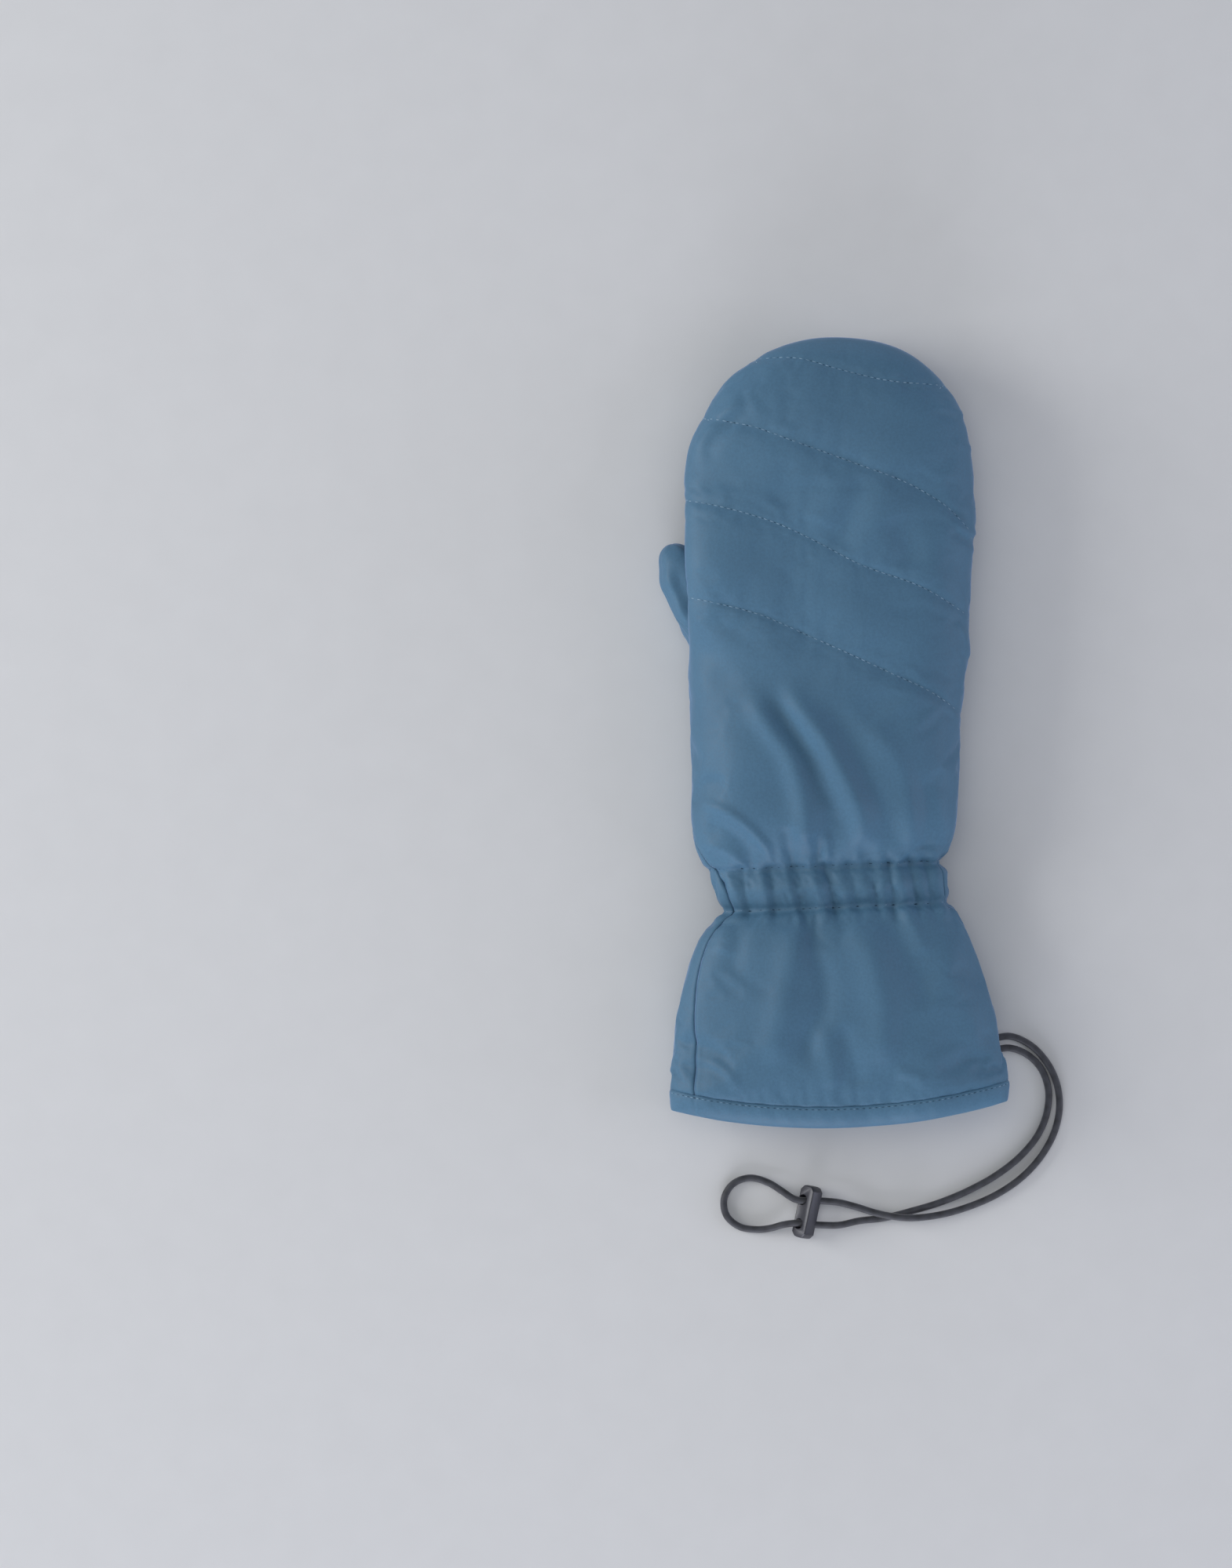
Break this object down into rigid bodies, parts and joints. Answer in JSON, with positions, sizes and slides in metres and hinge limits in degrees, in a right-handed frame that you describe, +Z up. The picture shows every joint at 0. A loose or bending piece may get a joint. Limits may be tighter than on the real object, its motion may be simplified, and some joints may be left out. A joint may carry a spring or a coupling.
{
  "type": "ski mitten",
  "caption": "Padded ski mitten with a separate thumb, an elasticated wrist, a flared gauntlet cuff and a corded leash with a lock.",
  "frame": {"origin": "on the surface that the mitten lies on, palm down, under the middle of the mitten's box, leash left out", "axes": "+X across the hand, away from the thumb; +Y along the hand towards the fingertips; +Z up, out of the back of the hand"},
  "size_m": [0.1734, 0.3846, 0.044],
  "materials": {
    "shell_fabric": "plain-woven nylon shell, steel blue, soft sheen",
    "wadding": "polyester wadding",
    "lining_fleece": "brushed polyester fleece",
    "elastic_webbing": "woven elastic",
    "leash_cord": "braided polyester over rubber strands",
    "lock_plastic": "moulded acetal, dark grey",
    "label_tape": "woven satin tape, blank"
  },
  "bodies": {
    "hand": {"back_shell": "shell_fabric", "palm_shell": "shell_fabric", "back_insulation": "wadding", "palm_insulation": "wadding", "back_lining": "lining_fleece", "palm_lining": "lining_fleece", "thumb_gusset": "shell_fabric", "wrist_casing": "shell_fabric", "wrist_elastic": "elastic_webbing", "wrist_lining": "lining_fleece"},
    "cuff": {"cuff_back_shell": "shell_fabric", "cuff_palm_shell": "shell_fabric", "cuff_back_insulation": "wadding", "cuff_palm_insulation": "wadding", "cuff_back_lining": "lining_fleece", "cuff_palm_lining": "lining_fleece", "hem_band": "shell_fabric", "care_label": "label_tape", "leash_anchor_tab": "shell_fabric", "leash_cord": "leash_cord"},
    "thumb": {"thumb_back_shell": "shell_fabric", "thumb_palm_shell": "shell_fabric", "thumb_insulation": "wadding", "thumb_lining": "lining_fleece"},
    "lock": {"cord_lock": "lock_plastic"}
  },
  "joints": [
    {"name": "wrist_flex", "type": "hinge", "parent": "hand", "child": "cuff", "pos_m": [0, -0.066, 0.019], "axis": [1, 0, 0], "range_deg": [-30, 30], "deforming": ["wrist_casing", "wrist_elastic", "wrist_lining"]},
    {"name": "thumb_swing", "type": "hinge", "parent": "hand", "child": "thumb", "pos_m": [-0.0516, 0.038, 0.0136], "axis": [0, 0, 1], "range_deg": [-5, 30], "deforming": ["thumb_gusset"]},
    {"name": "lock_slide", "type": "slide", "parent": "cuff", "child": "lock", "axis": [0.9976, -0.0698, 0], "range_m": [0, 0.008], "deforming": ["leash_cord"]}
  ]
}
